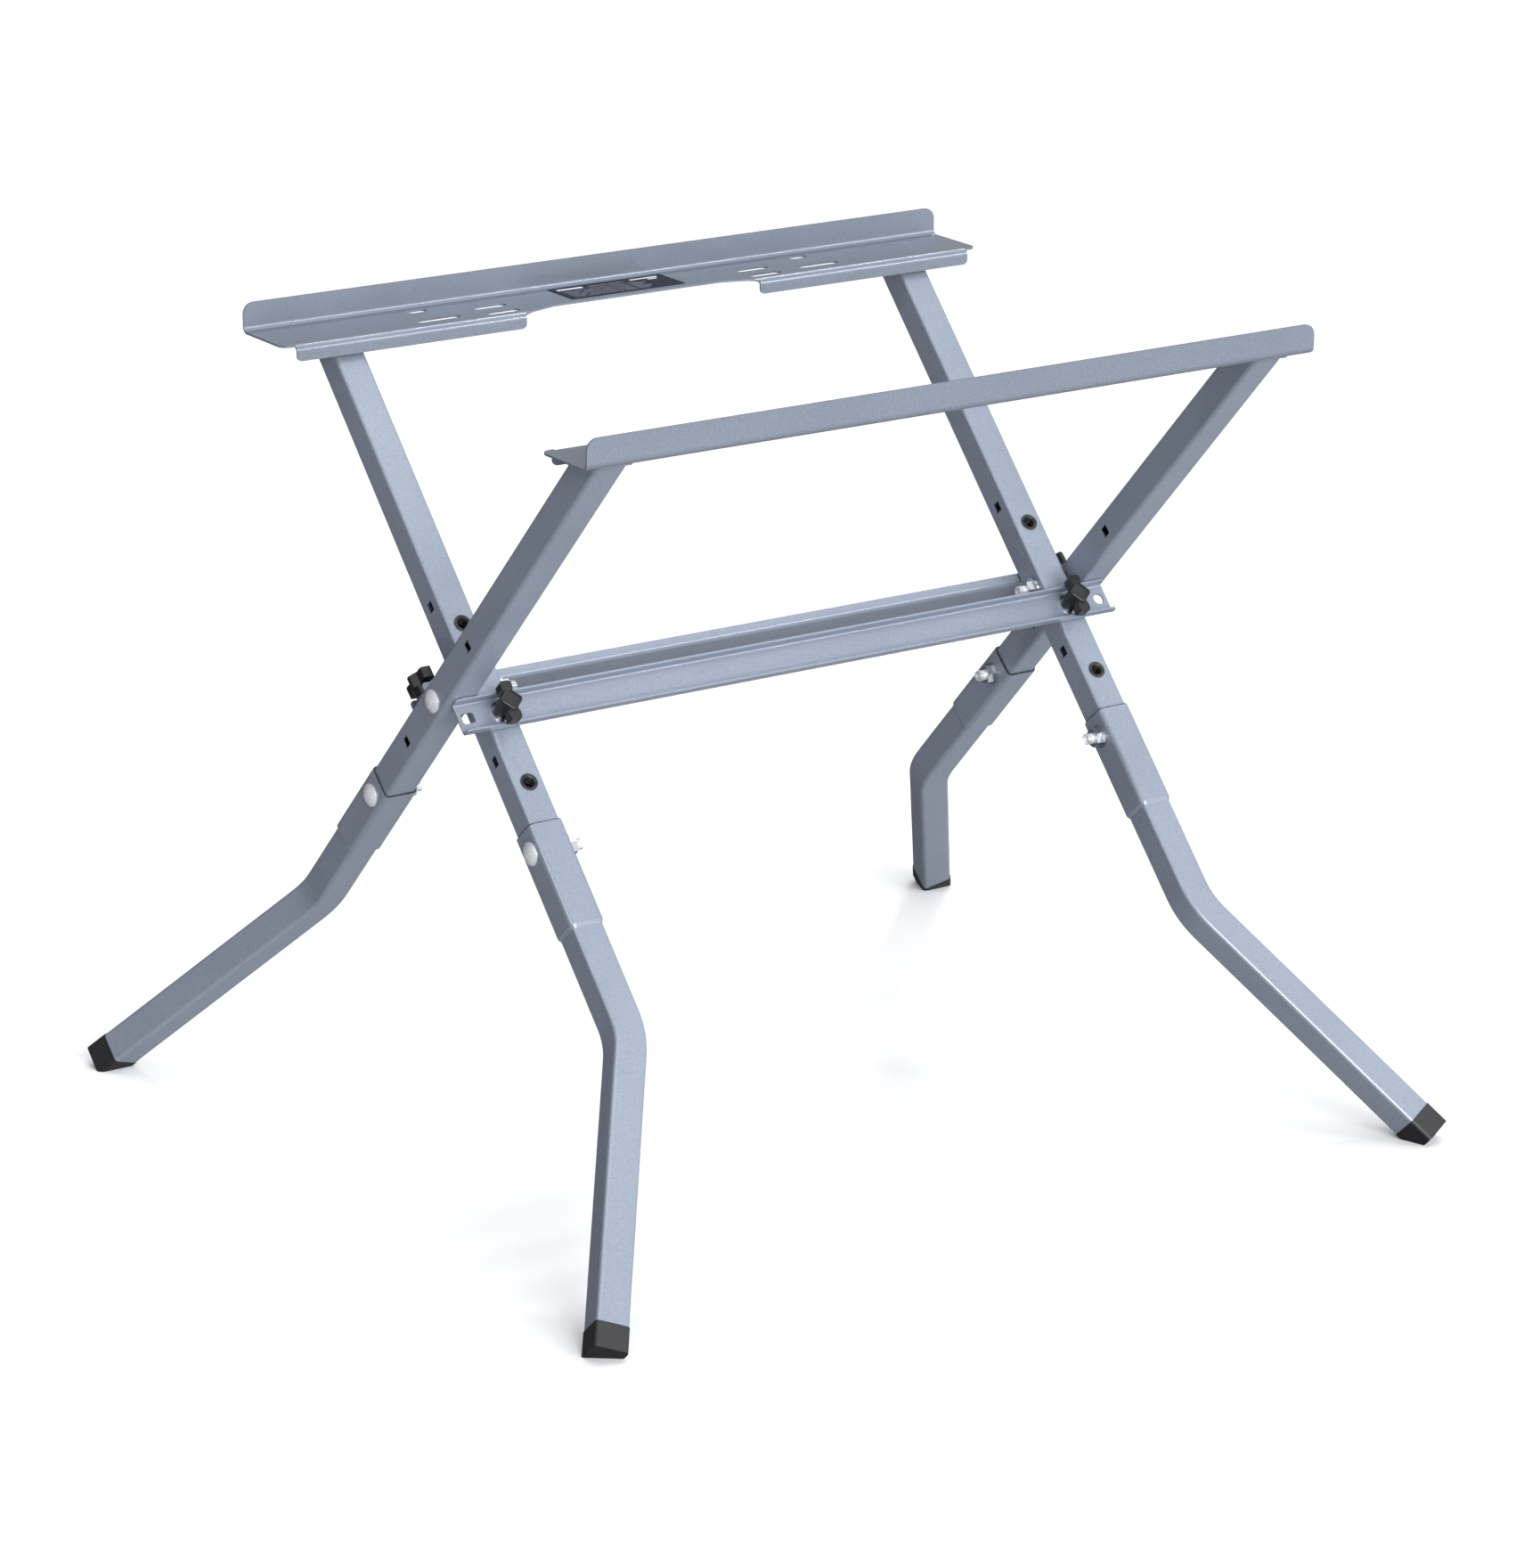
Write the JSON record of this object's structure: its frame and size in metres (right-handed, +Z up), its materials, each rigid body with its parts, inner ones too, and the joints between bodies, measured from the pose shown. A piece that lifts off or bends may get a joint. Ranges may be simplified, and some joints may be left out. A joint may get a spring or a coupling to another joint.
{
  "type": "folding saw stand",
  "caption": "Folding X-frame stand for a bench saw: two pivoting square-tube frames, slotted sheet rails on top, cross channels clamped by wing knobs, and splayed bolted lower legs.",
  "frame": {"origin": "on the floor, under the middle of the pivot line", "axes": "+X along the rails, +Y towards the back rail, +Z up"},
  "size_m": [0.8284, 0.725, 0.6264],
  "materials": {
    "upright_paint": "satin metallic blue-grey powder coat",
    "leg_paint": "satin metallic blue-grey powder coat",
    "rail_paint": "satin metallic blue-grey powder coat",
    "channel_paint": "satin metallic blue-grey powder coat",
    "cap_plastic": "moulded, fine grain",
    "knob_plastic": "moulded, slightly glossy",
    "spacer_plastic": "plain",
    "black_steel": "black oxide",
    "zinc_bolt": "bright zinc plate",
    "zinc_nut": "bright zinc plate",
    "label_film": "printed film"
  },
  "bodies": {
    "inner_frame": {"inner_upright_left": "upright_paint", "inner_upright_right": "upright_paint", "back_rail": "rail_paint", "rail_label": "label_film", "front_channel": "channel_paint", "inner_leg_left": "leg_paint", "inner_leg_right": "leg_paint", "inner_foot_cap_left": "cap_plastic", "inner_foot_cap_right": "cap_plastic", "inner_leg_bolts": "zinc_bolt", "inner_leg_nuts": "zinc_nut", "inner_rivet_nuts": "black_steel"},
    "outer_frame": {"outer_upright_left": "upright_paint", "outer_upright_right": "upright_paint", "front_rail": "rail_paint", "back_channel": "channel_paint", "outer_leg_left": "leg_paint", "outer_leg_right": "leg_paint", "outer_foot_cap_left": "cap_plastic", "outer_foot_cap_right": "cap_plastic", "outer_leg_bolts": "zinc_bolt", "outer_leg_nuts": "zinc_nut", "outer_rivet_nuts": "black_steel", "pivot_bolts": "zinc_bolt", "pivot_spacers": "spacer_plastic", "pivot_washers": "zinc_nut", "pivot_nuts": "zinc_nut"},
    "front_left_washer_body": {"front_left_washer": "zinc_nut"},
    "front_left_knob_body": {"front_left_knob": "knob_plastic", "front_left_stud": "zinc_nut"},
    "front_right_washer_body": {"front_right_washer": "zinc_nut"},
    "front_right_knob_body": {"front_right_knob": "knob_plastic", "front_right_stud": "zinc_nut"},
    "back_left_washer_body": {"back_left_washer": "zinc_nut"},
    "back_left_knob_body": {"back_left_knob": "knob_plastic", "back_left_stud": "zinc_nut"},
    "back_right_washer_body": {"back_right_washer": "zinc_nut"},
    "back_right_knob_body": {"back_right_knob": "knob_plastic", "back_right_stud": "zinc_nut"}
  },
  "joints": [
    {"name": "open_close", "type": "hinge", "parent": "inner_frame", "child": "outer_frame", "pos_m": [0, 0, 0.3745], "axis": [-1, 0, 0], "range_deg": [0, 75]},
    {"name": "front_left_knob_travel", "type": "slide", "parent": "inner_frame", "child": "front_left_washer_body", "axis": [0, -0.729, 0.6845], "range_m": [0, 0.01]},
    {"name": "front_left_knob_turn", "type": "hinge", "parent": "front_left_washer_body", "child": "front_left_knob_body", "pos_m": [-0.2584, -0.02957, 0.3677], "axis": [0, -0.729, 0.6845], "range_deg": [0, 2880]},
    {"name": "front_right_knob_travel", "type": "slide", "parent": "inner_frame", "child": "front_right_washer_body", "axis": [0, -0.729, 0.6845], "range_m": [0, 0.01]},
    {"name": "front_right_knob_turn", "type": "hinge", "parent": "front_right_washer_body", "child": "front_right_knob_body", "pos_m": [0.2584, -0.02957, 0.3677], "axis": [0, -0.729, 0.6845], "range_deg": [0, 2880]},
    {"name": "back_left_knob_travel", "type": "slide", "parent": "outer_frame", "child": "back_left_washer_body", "axis": [0, 0.729, 0.6845], "range_m": [0, 0.01]},
    {"name": "back_left_knob_turn", "type": "hinge", "parent": "back_left_washer_body", "child": "back_left_knob_body", "pos_m": [-0.2874, 0.02957, 0.3677], "axis": [0, 0.729, 0.6845], "range_deg": [0, 2880]},
    {"name": "back_right_knob_travel", "type": "slide", "parent": "outer_frame", "child": "back_right_washer_body", "axis": [0, 0.729, 0.6845], "range_m": [0, 0.01]},
    {"name": "back_right_knob_turn", "type": "hinge", "parent": "back_right_washer_body", "child": "back_right_knob_body", "pos_m": [0.2874, 0.02957, 0.3677], "axis": [0, 0.729, 0.6845], "range_deg": [0, 2880]}
  ],
  "couplings": [
    {"joint": "front_left_knob_travel", "follows": "front_left_knob_turn", "m_per_rad": 0.00019894},
    {"joint": "front_right_knob_travel", "follows": "front_right_knob_turn", "m_per_rad": 0.00019894},
    {"joint": "back_left_knob_travel", "follows": "back_left_knob_turn", "m_per_rad": 0.00019894},
    {"joint": "back_right_knob_travel", "follows": "back_right_knob_turn", "m_per_rad": 0.00019894}
  ]
}
